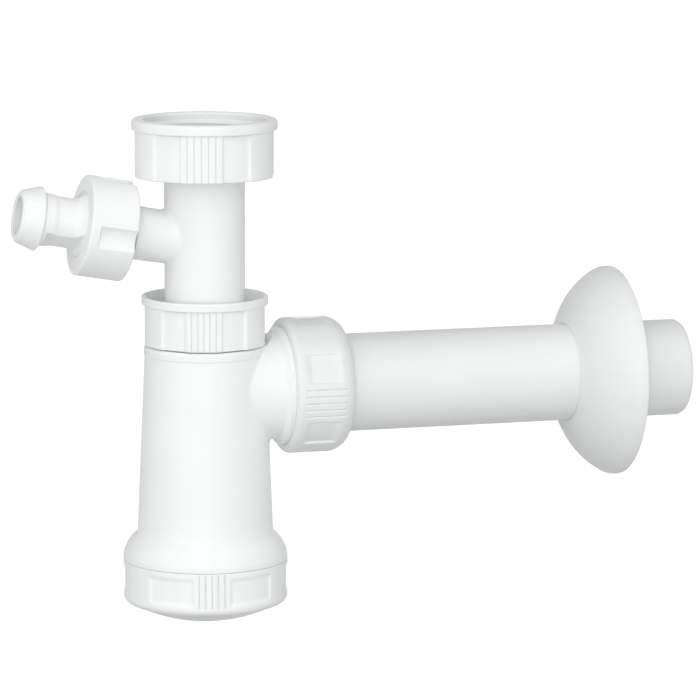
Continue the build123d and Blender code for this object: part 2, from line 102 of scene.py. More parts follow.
def corner_arc(before, at, after, radius):
    """Arc that rounds a corner, and its edge value: the sides are cut back by radius / tan(half their
    angle), and the arc turns from one to the other. Edge is above 0 where the arc bulges and below 0
    where it hollows, up to 1 where the arc is small and turns far."""
    back, on = before - at, after - at
    back, on = back / np.linalg.norm(back), on / np.linalg.norm(on)
    half = np.arccos(np.clip(back @ on, -1, 1)) / 2
    centre = at + (back + on) / np.linalg.norm(back + on) * radius / np.sin(half)
    spoke = at + back * radius / np.tan(half) - centre
    turn = np.sign(on[0] * back[1] - on[1] * back[0])
    share = np.linspace(0, 1, ARC_STEPS)
    angle = turn * (np.pi - 2 * half) * share
    cos, sin = np.cos(angle), np.sin(angle)
    ring = np.stack([spoke[0] * cos - spoke[1] * sin, spoke[0] * sin + spoke[1] * cos], 1)
    keen = min(1, KEEN_ROUND / radius) * (1 - 2 * half / np.pi)
    return centre + ring, turn * keen * np.sin(np.pi * share)


print("a bow over three points has", len(bow((1, 0), (0, 1), (-1, 0))), "corners")

# %% [markdown]
# ## Half sections
# A turned piece is known by its half section, the line that a lathe tool would follow. It could be drawn
# as a curve by hand. Here it is a short table of corners, each with its round and with the spacing of
# the points on the run after it, so the mesh is dense only where a thread or a grip needs it.

# %% Half section from corners
NEAR = 0.12


def half_section(corners, closed=True):
    """Dense line of (radius, height) and its edge value. A corner (radius, height, round, step) becomes
    an arc, and the straight run after it is divided evenly into parts no longer than step. One more
    point close to each end keeps the shading flat up to the round."""
    corner = np.array([c[:2] for c in corners], float)
    count = len(corners)
    arcs, values = [], []
    for i, (_, _, radius, _) in enumerate(corners):
        arc, value = corner[i][None], np.zeros(1)
        if radius > 0 and (closed or 0 < i < count - 1):
            arc, value = corner_arc(corner[i - 1], corner[i], corner[(i + 1) % count], radius)
        arcs.append(arc)
        values.append(value)
    line, edge = [], []
    for i in range(count if closed else count - 1):
        start, end = arcs[i][-1], arcs[(i + 1) % count][0]
        length = np.linalg.norm(end - start)
        parts = max(1, int(np.ceil(length / corners[i][3])))
        share = np.linspace(0, 1, parts + 1)[1:-1]
        if length > 4 * NEAR:
            share = np.unique(np.concatenate([share, [NEAR / length, 1 - NEAR / length]]))
        line += [arcs[i], start + share[:, None] * (end - start)]
        edge += [values[i], np.zeros(len(share))]
    if not closed:
        line.append(arcs[-1])
        edge.append(values[-1])
    return np.concatenate(line), np.concatenate(edge)


square = [(1, 0, 0.2, 1), (2, 0, 0.2, 1), (2, 1, 0.2, 1), (1, 1, 0.2, 1)]
print("a rounded square has", len(half_section(square)[0]), "points")

# %% [markdown]
# ## From a half section to a mesh
# Turning a half section gives a grid: rows follow the section, columns follow the angle. Spin or the
# Screw modifier could do it, but a nut's grip and its thread are only small changes of the radius on that
# grid, so one function makes every turned piece. The sign of the enclosed volume tells whether the faces
# point outwards.

# %% Mesh from whole arrays
def skin(name, points, quads, fans, edge):
    """Mesh object of whole arrays: points in metres with an edge value each, quads and triangle fans as
    index rows, turned so that the enclosed volume, a sixth of the sum of the triangles' triple products,
    is positive."""
    tris = np.concatenate([quads[:, [0, 1, 2]], quads[:, [0, 2, 3]], *fans])
    a, b, c = (points[tris[:, k]] for k in range(3))
    volume = np.einsum("ij,ij->i", a, np.cross(b, c)).sum() / 6
    turn = slice(None, None, 1 if volume > 0 else -1)
    faces = quads[:, turn].tolist()
    for fan in fans:
        faces += fan[:, turn].tolist()
    mesh = bpy.data.meshes.new(name)
    mesh.from_pydata(points.tolist(), [], faces)
    mesh.polygons.foreach_set("use_smooth", np.ones(len(faces), bool))
    values = mesh.attributes.new("edge", "FLOAT", "POINT")
    values.data.foreach_set("value", edge.astype(np.float32))
    mesh.update()
    piece = bpy.data.objects.new(name, mesh)
    scene.collection.objects.link(piece)
    print(name, len(points), "points,", round(abs(volume) * 1e6, 2), "cm3")
    return piece


print("meshes before the first piece", len(bpy.data.meshes))

# %% [markdown]
# ## Turning
# A ring such as a nut closes on itself in both directions. The cup is different: its section begins and
# ends on the axis, where all columns meet in many equal points. Merging by distance could clean that up,
# but its limit would have to suit every piece. So each end is one point from the start, with a fan of
# triangles.

# %% Turned surface
MM = 0.001
EVEN_TURN = np.arange(0, 360, 1.875)


def turned(name, place, section, angles=EVEN_TURN, change=None, closed=True):
    """Surface of a half section turned about its axis: x = r cos a, y = r sin a, z = h. change(r, h, a)
    gives what is added to the radius and to the edge value on the whole grid. An open section begins
    and ends on the axis, and its two end rows shrink to single points."""
    line, edge = section
    poles = line[[0, -1], 1]
    if not closed:
        line, edge = line[1:-1], edge[1:-1]
    r, h, a = line[:, :1], line[:, 1:], np.radians(angles)[None, :]
    more_r, more_edge = change(r, h, a) if change else (0 * a, 0 * a)
    radius = r + more_r + 0 * a
    flat = np.stack([radius * np.cos(a), radius * np.sin(a), h + 0 * radius], -1).reshape(-1, 3)
    values = np.clip(edge[:, None] + more_edge + 0 * radius, -1, 1).ravel()
    rows, columns = radius.shape
    i = np.arange(rows if closed else rows - 1)[:, None]
    j = np.arange(columns)[None, :]
    i2, j2 = (i + 1) % rows, (j + 1) % columns
    corners = [i * columns + j, i * columns + j2, i2 * columns + j2, i2 * columns + j]
    quads = np.stack(corners, -1).reshape(-1, 4)
    fans = []
    if not closed:
        flat = np.concatenate([flat, np.stack([0 * poles, 0 * poles, poles], 1)])
        values = np.concatenate([values, [0, 0]])
        first, last, top = rows * columns, rows * columns + 1, (rows - 1) * columns
        ring, after = j[0], j2[0]
        fans.append(np.stack([first + 0 * ring, after, ring], 1))
        fans.append(np.stack([last + 0 * ring, top + ring, top + after], 1))
    origin, axes = place
    return skin(name, (origin + flat @ axes) * MM, quads, fans, values)


print("a plain turned piece has", len(EVEN_TURN), "columns")

# %% [markdown]
# ## Grips
# Each nut has six pads with shallow pockets between them, and every second pad is split into fine ribs.
# They could be cut with Booleans, which leave ragged edges. As a change of the radius they stay part of
# the grid, and the columns are set closer where a pocket's edge or a groove is crossed.

# %% Grip shape
PAD_COUNT = 6
GROOVE_COUNT = 5
GROOVE_WIDTH, GROOVE_DEPTH = 0.7, 0.4
POCKET_DEPTH, POCKET_SLOPE = 1.0, 1.3
PAD_TURN = 360 / PAD_COUNT
RIB_TURN = 2 * PAD_TURN
OUTER_GROOVE = GROOVE_COUNT // 2
# Edge values of a grip: a pocket's lip is lifted as wear; its foot and the grooves are darkened as dust and
# painted shade.
TINT_WIDTH, LIP_TINT, FOOT_DUST_AND_SHADE, GROOVE_DUST_AND_SHADE = 0.5, 0.3, -0.2, -0.7


def smooth(x):
    """Smooth step: 0 below 0, 1 above 1, and 3x2 - 2x3 between."""
    x = np.clip(x, 0, 1)
    return x * x * (3 - 2 * x)


def grip_angles(turn, pocket, pitch, radius, slope=POCKET_SLOPE, spacing=3.0, finer=7):
    """Angles in degrees for a grip's columns: an even row, with a few more across each pocket's edge,
    which is slope degrees wide, and across each groove."""
    across = np.linspace(-0.5, 0.5, finer)
    pocket_at = turn + PAD_TURN * (np.arange(PAD_COUNT)[:, None] + 0.5) + pocket / 2 * np.array([-1, 1])
    rib = np.arange(-OUTER_GROOVE, OUTER_GROOVE + 1)
    groove_at = turn + RIB_TURN * np.arange(PAD_COUNT // 2)[:, None] + pitch * rib
    groove = np.degrees(GROOVE_WIDTH / radius)
    every = [np.arange(0, 360, spacing)]
    every.append((pocket_at[..., None] + slope * across).ravel())
    every.append((groove_at[..., None] + groove * across).ravel())
    return np.unique(np.round(np.concatenate(every) % 360, 3))


def grip(a, turn, pocket, pitch, radius, slope=POCKET_SLOPE):
    """Depths of a grip's pockets and grooves below its pads at the angles a, and the edge values of
    both. Pockets lie half-way between the pads and slope down over slope degrees; on every second pad
    the grooves, V-shaped in section, lie one pitch apart. Edge values are bells of e to the -x2."""
    degrees = np.degrees(a)
    off_pocket = np.abs((degrees - turn) % PAD_TURN - PAD_TURN / 2)
    floor = smooth((pocket / 2 + slope / 2 - off_pocket) / slope)
    on_pad = (degrees - turn + RIB_TURN / 2) % RIB_TURN - RIB_TURN / 2
    nearest = np.clip(np.round(on_pad / pitch), -OUTER_GROOVE, OUTER_GROOVE)
    groove = np.degrees(GROOVE_WIDTH / radius)
    cut = smooth(1 - np.abs(on_pad - nearest * pitch) / (groove / 2))
    foot = np.exp(-(((off_pocket - pocket / 2 + slope / 2) / TINT_WIDTH) ** 2))
    lip = np.exp(-(((off_pocket - pocket / 2 - slope / 2) / TINT_WIDTH) ** 2))
    return POCKET_DEPTH * floor, GROOVE_DEPTH * cut, LIP_TINT * lip + FOOT_DUST_AND_SHADE * foot, GROOVE_DUST_AND_SHADE * cut


print(PAD_COUNT, "pads,", PAD_TURN, "degrees apart")

# %% [markdown]
# ## Threads
# A thread is a tooth that climbs one pitch a turn. It could be a spiral curve with a bevel, which then
# has to be joined to the wall. Here it is one more change of the radius. Male and female teeth share one
# starting height and lie half a pitch apart, so they stay in each other's gaps while a nut is screwed off.

# %% Thread shape
PIPE_PITCH = 2.309
TOOTH_BASE, TOOTH_FLANK = 0.33, 0.24
BORE_IN, BORE_OUT = 0.3, 0.05
THREAD_FADE = 1.4


def tooth(h, a, pitch, depth, start, male):
    """Height of a thread tooth at height h and angle a: the phase h / pitch - a / full turn is 0 in the
    middle of a male tooth and a half in the middle of a female one. Base is half the tooth's width at
    its foot and flank the width of one slope, both as shares of the pitch."""
    phase = (h - start) / pitch - a / (2 * np.pi) + (0.0 if male else 0.5)
    away = np.abs((phase + 0.5) % 1 - 0.5) * pitch
    return depth * smooth((TOOTH_BASE * pitch - away) / (TOOTH_FLANK * pitch))


def run_out(h, low, high, length):
    """0 outside low and high, and 1 inside, reached by a smooth step over length at both ends."""
    return smooth((h - low) / length) * smooth((high - h) / length)


def female_thread(r, h, a, bore, pitch, depth, start, low, high, fade=THREAD_FADE):
    """Depth of a thread cut into the wall of a bore, running out over fade towards low and high."""
    cut = tooth(h, a, pitch, depth, start, False) * run_out(h, low, high, fade)
    return cut * ((r < bore + BORE_OUT) * (r > bore - BORE_IN))


def grip_and_thread(shape, on_wall, thread, in_pocket=1, in_ribs=1, rib_dust_and_shade=1):
    """What a grip and a thread add to the radius and to the edge values: minus the sum of the depths,
    where on_wall, in_pocket and in_ribs are shares of the whole grip, its pockets and its ribs."""
    pocket, groove, pocket_edge, groove_edge = shape
    depth = (pocket * in_pocket + groove * in_ribs) * on_wall + thread
    return -depth, (pocket_edge * in_pocket + rib_dust_and_shade * groove_edge * in_ribs) * on_wall


print("a pipe thread's tooth is", round(2 * TOOTH_BASE * PIPE_PITCH, 2), "mm wide at its foot")

# %% [markdown]
# ## Nodes by the line
# Materials are small networks. They could be clicked together in the shader editor. A few helpers make
# the common nodes from one line each, so that a network reads like a sentence.

# %% Node helpers
def wire(tree, kind, place, links=None, **settings):
    """Node with its settings; links maps an input's name or number to a value or an output."""
    node = tree.nodes.new(kind)
    node.location = place
    for key, value in settings.items():
        setattr(node, key, value)
    for key, value in (links or {}).items():
        if isinstance(value, bpy.types.NodeSocket):
            tree.links.new(value, node.inputs[key])
        else:
            node.inputs[key].default_value = value
    return node


def arithmetic(tree, place, operation, *values):
    """Output of a Math node on two or three numbers or outputs."""
    return wire(tree, "ShaderNodeMath", place, dict(enumerate(values)), operation=operation).outputs[0]


def spread(tree, place, value, low, high, to_low=0.0, to_high=1.0, steps="LINEAR"):
    """Output of a Map Range node: low becomes to_low, high becomes to_high."""
    links = {"Value": value, "From Min": low, "From Max": high, "To Min": to_low, "To Max": to_high}
    return wire(tree, "ShaderNodeMapRange", place, links, interpolation_type=steps).outputs[0]


def noise(tree, place, vector, scale, detail, **more):
    """Output of a Noise Texture; more holds its further inputs by name."""
    links = {"Vector": vector, "Scale": scale, "Detail": detail, **more}
    return wire(tree, "ShaderNodeTexNoise", place, links).outputs[0]


def mix_colour(tree, place, factor, first, second):
    """Colour mix: first where factor is 0, second where it is 1. Its colour inputs are numbers 6 and 7,
    and each takes three plain numbers or an output."""
    links = {0: factor}
    for key, colour in ((6, first), (7, second)):
        links[key] = colour if isinstance(colour, bpy.types.NodeSocket) else (*colour, 1)
    return wire(tree, "ShaderNodeMix", place, links, data_type="RGBA").outputs[2]


print("materials before the first finish", len(bpy.data.materials))

# %% [markdown]
# ## Marks of moulded plastic
# The hard pieces are moulded polypropylene: nearly white, satin, a little cool. What makes it
# look real is small: faint clouds in the colour, flow streaks, an orange-peel skin, scuffs, edges polished
# by handling, and grooves darkened by a trace of dust and by painted shade. Each material could hold its
# own copy of them. One node group makes them for every finish, and each finish sets its own strengths.

# %% Shared marks
CLOUD_SCALE, SCUFF_SCALE = 38.0, 420.0
STREAK_SHARE, CLOUD_BASE = 0.35, 0.25
SCUFF_FROM, SCUFF_TO = 0.62, 0.74
MARK_FROM = 0.1


def moulded_marks():
    """Node group: clouds, skin height, scuffs, and the masks of worn edges and of grooves darkened by dust
    and painted shade.
    """
    group = bpy.data.node_groups.new("moulded_marks", "ShaderNodeTree")
    sockets = group.interface
    sockets.new_socket(name="Vector", in_out="INPUT", socket_type="NodeSocketVector")
    sockets.new_socket(name="Flow", in_out="INPUT", socket_type="NodeSocketVector")
    sockets.new_socket(name="Peel Scale", in_out="INPUT", socket_type="NodeSocketFloat")
    for name in ("Cloud", "Height", "Scuff", "Edge", "Groove"):
        sockets.new_socket(name=name, in_out="OUTPUT", socket_type="NodeSocketFloat")
    entry = wire(group, "NodeGroupInput", (-900, 0)).outputs
    vector = entry["Vector"]
    along = {0: vector, 1: entry["Flow"]}
    stretched = wire(group, "ShaderNodeVectorMath", (-700, 60), along, operation="MULTIPLY").outputs[0]
    cloud = noise(group, (-500, 300), vector, CLOUD_SCALE, detail=3.0)
    streak = noise(group, (-500, 60), stretched, scale=1.0, detail=4.0)
    fine_peel = noise(group, (-500, -160), vector, entry["Peel Scale"], detail=2.0)
    rubbed = noise(group, (-500, -380), vector, SCUFF_SCALE, detail=5.0, Roughness=0.7, Distortion=1.6)
    weak = arithmetic(group, (-300, 20), "MULTIPLY", streak, STREAK_SHARE)
    mark = wire(group, "ShaderNodeAttribute", (-500, -620), attribute_name="edge").outputs["Fac"]
    made = {
        "Cloud": arithmetic(group, (-250, 220), "MULTIPLY_ADD", cloud, streak, CLOUD_BASE),
        "Height": arithmetic(group, (-100, 0), "ADD", fine_peel, weak),
        "Scuff": spread(group, (-250, -380), rubbed, SCUFF_FROM, SCUFF_TO, steps="SMOOTHSTEP"),
        "Edge": spread(group, (-250, -560), mark, MARK_FROM, 1.0),
        # Hollows and grooves, darkened for dust and painted shade.
        "Groove": spread(group, (-250, -760), mark, -MARK_FROM, -1.0),
    }
    wire(group, "NodeGroupOutput", (200, 0), made)
    return group


marks = moulded_marks()
print("marks put out", [s.name for s in marks.interface.items_tree if s.in_out == "OUTPUT"])

# %% [markdown]
# ## One recipe for plastic
# Moulded plastic could be one flat colour, but that looks like paper. So a finish mixes two close
# colours by the clouds, darkens the grooves slightly with dust and painted shade, lifts the worn edges,
# and is a little rougher where it is scuffed. The orange-peel skin is a very shallow bump, because no mesh
# could be as fine.

# %% Plastic
CLOUD_FROM, CLOUD_TO = 0.38, 0.68
EDGE_LIFT = 1.03
SCUFF_ROUGH = 0.12
PEEL_SCALE, SKIN_DEPTH = 1300.0, 0.00015
PLASTIC_IOR, PLASTIC_SPECULAR = 1.49, 0.12


def plastic(name, light, shade, rough, flow, bump, dust_and_shade_tint=0.86, peel=PEEL_SCALE):
    """Moulded plastic: light and shade are its two close colours, rough its two roughness limits, flow
    the streaks' scale along each axis and the tint what the colour in grooves and hollows is multiplied by,
    for dust and painted shade."""
    material = bpy.data.materials.new(name)
    material.use_nodes = True
    tree = material.node_tree
    shader = tree.nodes["Principled BSDF"]
    place = wire(tree, "ShaderNodeTexCoord", (-1200, 0)).outputs["Object"]
    fed = {"Vector": place, "Flow": flow, "Peel Scale": peel}
    out = wire(tree, "ShaderNodeGroup", (-980, 0), fed, node_tree=marks).outputs
    cloudy = spread(tree, (-760, 260), out["Cloud"], CLOUD_FROM, CLOUD_TO)
    body = mix_colour(tree, (-560, 260), cloudy, light, shade)
    # Grooves and hollows are darker here: a trace of dust and painted shade.
    dusted_and_shaded = mix_colour(tree, (-380, 260), out["Groove"], body, [dust_and_shade_tint * v for v in shade])
    lifted = mix_colour(tree, (-200, 260), out["Edge"], dusted_and_shaded, [min(1.0, EDGE_LIFT * v) for v in light])
    sheen = spread(tree, (-560, -40), out["Cloud"], 0.0, 1.0, *rough)
    scuffed = arithmetic(tree, (-380, -40), "MULTIPLY_ADD", out["Scuff"], SCUFF_ROUGH, sheen)
    peel_links = {"Height": out["Height"], "Strength": bump, "Distance": SKIN_DEPTH}
    relief = wire(tree, "ShaderNodeBump", (-300, -260), peel_links).outputs[0]
    for key, output in (("Base Color", lifted), ("Roughness", scuffed), ("Normal", relief)):
        tree.links.new(output, shader.inputs[key])
    shader.inputs["Specular IOR Level"].default_value = PLASTIC_SPECULAR
    shader.inputs["IOR"].default_value = PLASTIC_IOR
    return material


print("edge lift", EDGE_LIFT, "skin depth", SKIN_DEPTH)

# %% [markdown]
# ## Four finishes
# Bottle, tee, cup, hose tail and the other nuts share one white; nut, pipe and rosette of the outlet are
# a shade greyer. The seals are soft milky polyethylene, and two hidden washers are dark rubber. One white
# could serve for all hard pieces, but in the photograph the outlet looks like a separate set. Streaks
# follow the flow in the mould, so they run upright on the body and lie along the outlet.

# %% Four finishes
along_z, along_x = (130.0, 130.0, 10.0), (10.0, 130.0, 130.0)
body_white = plastic(
    "moulded_body", light=(0.885, 0.9, 0.893), shade=(0.86, 0.876, 0.868),
    rough=(0.4, 0.54), flow=along_z, bump=0.12, dust_and_shade_tint=0.76,
)
outlet_white = plastic(
    "moulded_outlet", light=(0.82, 0.835, 0.828), shade=(0.79, 0.806, 0.798),
    rough=(0.42, 0.56), flow=along_x, bump=0.14,
)
seal_white = plastic(
    "soft_seal", light=(0.8, 0.81, 0.79), shade=(0.76, 0.77, 0.75),
    rough=(0.5, 0.62), flow=along_z, bump=0.2,
)
washer_grey = plastic(
    "dark_rubber", light=(0.07, 0.072, 0.075), shade=(0.05, 0.052, 0.055),
    rough=(0.62, 0.78), flow=along_z, bump=0.5, peel=2200.0,
)
finishes = dict(
    body_white=body_white, outlet_white=outlet_white, seal_white=seal_white, washer_grey=washer_grey
)
print("finishes", sorted(finishes))

# %% [markdown]
# ## Dressing the nodes
# Each solid of the frame already has a slot in the record, and the slot decides its finish. A turned
# piece could simply cover its solid, but two walls in one place flicker. So it takes over the solid's
# body, slot and finish, and the solid is hidden.

# %% Finishes on the nodes
node_slot = {row["node"]: row["material_slot"] for row in frame["record"]["subparts"]}
for name, node in nodes.items():
    node.data.materials.clear()
    node.data.materials.append(finishes[node_slot[name]])


def stand_for(piece, node):
    """Gives the piece the node's finish, lets it ride on the node's body and hides the node."""
    piece.data.materials.append(finishes[node_slot[node]])
    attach(piece, node)
    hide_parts(node)


print("slots in use", sorted(set(node_slot.values())))

# %% [markdown]
# ## The inlet nut
# The union nut at the top opens upwards to the sink's waste. A rolled bead runs round its mouth, six
# grip pads hang below it, and a fine 11-to-the-inch pipe thread is cut inside. It could be built of rings
# joined together. Bead, wall, thread and floor are one closed section instead, so nothing has to be joined.
# In each table of radii, what lies beyond outside counts as the outer wall.

# %% Inlet nut
NUT_POCKET = 25.0
NUT_RIB_PITCH = (PAD_TURN - NUT_POCKET) / (GROOVE_COUNT + 1)
UNDER_BEAD, GRIP_END, FINE = 0.35, 0.4, 0.12
inlet_turn = -107.0
inlet_r = dict(tube=17.4, bore=23.9, entry=24.5, chamber=24.6, outside=26.8, pad=28.4, bead=29.4)
inlet_h = dict(low=-19.8, floor=-16.5, end=-11.5, bead=-0.9, mouth=0.0, entry=0.6, top=3.5)
inlet_thread = dict(bore=inlet_r["bore"], pitch=PIPE_PITCH, depth=1.48, start=inlet_h["mouth"])
inlet_thread.update(low=inlet_h["end"], high=inlet_h["mouth"], fade=1.6)


def inlet_change(r, h, a):
    """Grip on the outer wall below the bead, and the female pipe thread on the bore."""
    shape = grip(a, inlet_turn, NUT_POCKET, NUT_RIB_PITCH, inlet_r["pad"])
    on_wall = (r > inlet_r["outside"]) * smooth((inlet_h["bead"] - h) / UNDER_BEAD)
    return grip_and_thread(shape, on_wall, female_thread(r, h, a, **inlet_thread))


section = half_section(
    [
        (inlet_r["tube"], inlet_h["low"], 0.4, 6),
        (inlet_r["pad"], inlet_h["low"], 0.7, 4),
        (inlet_r["pad"], inlet_h["bead"] - GRIP_END, 0, FINE),
        (inlet_r["pad"], inlet_h["bead"], 0.1, 1),
        (inlet_r["bead"], inlet_h["bead"], 0.7, 1),
        (inlet_r["bead"], inlet_h["top"], 1.5, 1),
        (inlet_r["entry"], inlet_h["top"], 0.9, 2),
        (inlet_r["entry"], inlet_h["entry"], 0.2, 1),
        (inlet_r["bore"], inlet_h["mouth"], 0.2, 0.21),
        (inlet_r["bore"], inlet_h["end"], 0.2, 1),
        (inlet_r["chamber"], inlet_h["end"], 0.2, 2),
        (inlet_r["chamber"], inlet_h["floor"], 0.3, 3),
        (inlet_r["tube"], inlet_h["floor"], 0.3, 2),
    ]
)
angles = grip_angles(inlet_turn, NUT_POCKET, NUT_RIB_PITCH, inlet_r["pad"])
stand_for(turned("inlet_nut_skin", upright, section, angles, inlet_change), "inlet_nut")

# %% [markdown]
# ## The body nut
# The second nut clamps the bottle to the dip tube. Its top is a thin-rimmed funnel in which the seal's
# collar shows, and its coarse thread runs on the bottle's neck. It could be a scaled copy of the inlet
# nut, but then its ribs and edges would be scaled too. So it is the same recipe with another section.

# %% Body nut
NECK_START = -81.5
coarse = dict(pitch=3.5, depth=1.2)
body_turn = -105.5
nut_r = dict(lip=18.85, lip_edge=20.05, bore=22.0, outside=23.3, rim=24.4, pad=24.8, bead=25.6)
nut_h = dict(low=-87.8, thread_top=-78.2, lip_low=-77.4, lip_top=-74.4, bead=-71.6, top=-68.1)
nut_thread = dict(bore=nut_r["bore"], start=NECK_START, low=nut_h["low"], high=nut_h["thread_top"], **coarse)


def body_change(r, h, a):
    """Grip on the outer wall below the bead, and the female coarse thread on the bore under the lip."""
    shape = grip(a, body_turn, NUT_POCKET, NUT_RIB_PITCH, nut_r["pad"])
    on_wall = (r > nut_r["outside"]) * smooth((nut_h["bead"] - h) / UNDER_BEAD)
    return grip_and_thread(shape, on_wall, female_thread(r, h, a, **nut_thread))


section = half_section(
    [
        (nut_r["bore"], nut_h["low"], 0.3, 2),
        (nut_r["pad"], nut_h["low"], 0.6, 4),
        (nut_r["pad"], nut_h["bead"] - GRIP_END, 0, FINE),
        (nut_r["pad"], nut_h["bead"], 0.1, 1),
        (nut_r["bead"], nut_h["bead"], 0.55, 1),
        (nut_r["bead"], nut_h["top"], 0.55, 1),
        (nut_r["rim"], nut_h["top"], 0.4, 1.5),
        (nut_r["lip_edge"], nut_h["lip_top"], 0.5, 1),
        (nut_r["lip"], nut_h["lip_top"], 0.3, 1),
        (nut_r["lip"], nut_h["lip_low"], 0.3, 2),
        (nut_r["bore"], nut_h["lip_low"], 0.2, 0.3),
    ]
)
angles = grip_angles(body_turn, NUT_POCKET, NUT_RIB_PITCH, nut_r["pad"])
stand_for(turned("body_nut_skin", upright, section, angles, body_change), "body_nut")

# %% [markdown]
# ## The outlet nut
# The outlet's union nut is the same nut lying down, with differences that show in the photograph: its
# pockets fade out at both ends, its back edge is a wide round and its outer end is one long curve. The
# two curves could be beziers; circles through three points are easier to measure and repeat.

# %% Outlet nut
STUB_START = 49.0
outlet_turn = 7.6
cap_r = dict(lip=20.6, face=24.25, mouth=24.28, bore=24.5, tip=24.6, outside=25.9, bend=26.61, pad=27.7)
cap_h = dict(back=31.8, mouth=32.4, bore=32.7, fine_low=34.5, even_low=38.6, even_high=47.4)
cap_h.update(bow=50.3, lip=53.1, bend=53.61, tip=56.05, end=56.3)
cap_back = 2.4
cap_thread = dict(bore=cap_r["bore"], start=STUB_START, low=33.0, high=52.0, **coarse)
cap_pocket, cap_pocket_share = dict(low=35.2, high=50.9, length=3.2), 0.8
# The second number sets how strongly the rib grooves are darkened, as dust and painted shade.
cap_ribs, cap_rib_dust_and_shade = dict(low=34.6, high=53.0, length=0.6), 0.6


def cap_change(r, h, a):
    """Pockets with soft ends and longer ribs on the outer wall, and the female coarse thread inside."""
    shape = grip(a, outlet_turn, NUT_POCKET, NUT_RIB_PITCH, cap_r["pad"])
    thread = female_thread(r, h, a, **cap_thread)
    in_pocket = cap_pocket_share * run_out(h, **cap_pocket)
    in_ribs = run_out(h, **cap_ribs)
    return grip_and_thread(shape, r > cap_r["outside"], thread, in_pocket, in_ribs, cap_rib_dust_and_shade)


back_in = cap_back * (1 - np.sqrt(0.5))
back_mid = (cap_r["pad"] - back_in, cap_h["back"] + back_in)
back_end = (cap_r["pad"], cap_h["back"] + cap_back)
cap_bend, cap_tip = (cap_r["bend"], cap_h["bend"]), (cap_r["tip"], cap_h["tip"])
section = half_section(
    [
        (cap_r["bore"], cap_h["bore"], 0, 1),
        (cap_r["mouth"], cap_h["mouth"], 0, 1),
        (cap_r["mouth"], cap_h["back"], 0.1, 2),
        *bow((cap_r["pad"] - cap_back, cap_h["back"]), back_mid, back_end, 12),
        (cap_r["pad"], cap_h["fine_low"], 0, 0.22),
        (cap_r["pad"], cap_h["even_low"], 0, 3),
        (cap_r["pad"], cap_h["even_high"], 0, 0.22),
        *bow((cap_r["pad"], cap_h["bow"]), cap_bend, cap_tip, 16),
        (cap_r["face"], cap_h["end"], 0.25, 2),
        (cap_r["lip"], cap_h["end"], 0.4, 1),
        (cap_r["lip"], cap_h["lip"], 0.3, 2),
        (cap_r["bore"], cap_h["lip"], 0.2, 0.3),
    ]
)
angles = grip_angles(outlet_turn, NUT_POCKET, NUT_RIB_PITCH, cap_r["pad"])
stand_for(turned("outlet_nut_skin", outlet, section, angles, cap_change), "outlet_nut")

# %% [markdown]
# ## The bottom cup
# The cup screws onto the bottle from below and is taken off for cleaning. Its wide pockets have soft
# ends, its bottom is a shallow dome, and the gate of the mould leaves a small round mark there. The dome
# could be a scaled sphere; as a part of one ball in the section it has an even wall.

# %% The cup's sizes and its dome
SPIGOT_START = -175.8
cup_turn, cup_pocket_turn, cup_slope = -99.9, 33.0, 2.6
cup_rib_pitch = (PAD_TURN - cup_pocket_turn) / (GROOVE_COUNT + 1)
cup_r = dict(well=25.7, bore=30.1, dome=30.25, outside=32.45, round=32.51, wall=33.45)
cup_h = dict(bottom=-201.2, edge=-193.8, round=-192.86, wall=-190.6, fine_low=-190.3, seat=-188.3)
cup_h.update(even_low=-187.7, even_high=-180.2, fine_high=-177.7, ribs=-176.9, top=-176.0)
cup_thread = dict(bore=cup_r["bore"], start=SPIGOT_START, low=-187.0, high=cup_h["top"], **coarse)
cup_pocket, cup_pocket_share = dict(low=-190.2, high=-177.7, length=2.4), 0.65
# The second number sets how strongly the rib grooves are darkened, as dust and painted shade.
cup_ribs, cup_rib_dust_and_shade = dict(low=-190.8, high=-176.3, length=0.45), 1.4
dome = cup_h["edge"] - cup_h["bottom"]
dome_ball = (cup_r["dome"] ** 2 + dome**2) / (2 * dome)


def dome_height(r, lift=0.0):
    """Height of the dome, or of a ball that much smaller about the same centre, at the radius r."""
    return cup_h["bottom"] + dome_ball - np.sqrt((dome_ball - lift) ** 2 - r**2)


def cup_change(r, h, a):
    """Pockets with soft ends, ribs up to the seam, and the female coarse thread above the seat."""
    shape = grip(a, cup_turn, cup_pocket_turn, cup_rib_pitch, cup_r["wall"], cup_slope)
    thread = female_thread(r, h, a, **cup_thread)
    in_pocket = cup_pocket_share * run_out(h, **cup_pocket)
    in_ribs = run_out(h, **cup_ribs)
    return grip_and_thread(shape, r > cup_r["outside"], thread, in_pocket, in_ribs, cup_rib_dust_and_shade)


print("the dome is part of a ball of radius", round(dome_ball, 1), "mm")

# %% [markdown]
# ### Its section
# A moulder would see a cup as two halves of a tool, outside and inside, and it could be made of two
# shells. One line does both: it starts on the axis under the gate mark, follows the dome out and the
# wall up, and comes back down the thread and along the inner dome to the axis.

# %% Bottom cup
cup_wall, dome_margin, well_margin = 2.6, 1.0, 0.6
gate_r, gate_h, gate_slope = 3.0, 0.5, 0.3
pit_r, pit_depth, pit_slope = 1.2, 0.25, 0.2
gate_top = cup_h["bottom"] + gate_h
gate_foot = gate_r + gate_slope
dome_r = np.linspace(gate_foot + gate_slope, cup_r["dome"] - dome_margin, 14)
well_r = np.linspace(cup_r["well"] - well_margin, 0, 9)
dome_side = (cup_r["dome"], cup_h["edge"]), (cup_r["round"], cup_h["round"]), (cup_r["wall"], cup_h["wall"])
corners = [
    (0, gate_top - pit_depth, 0, 1),
    (pit_r - pit_slope, gate_top - pit_depth, 0.2, 1),
    (pit_r, gate_top, 0.1, 1),
    (gate_r, gate_top, 0.2, 1),
    (gate_foot, dome_height(gate_foot), 0.15, 1),
]
corners += [(r, dome_height(r), 0, 2.5) for r in dome_r]
corners += bow(*dome_side, 8)
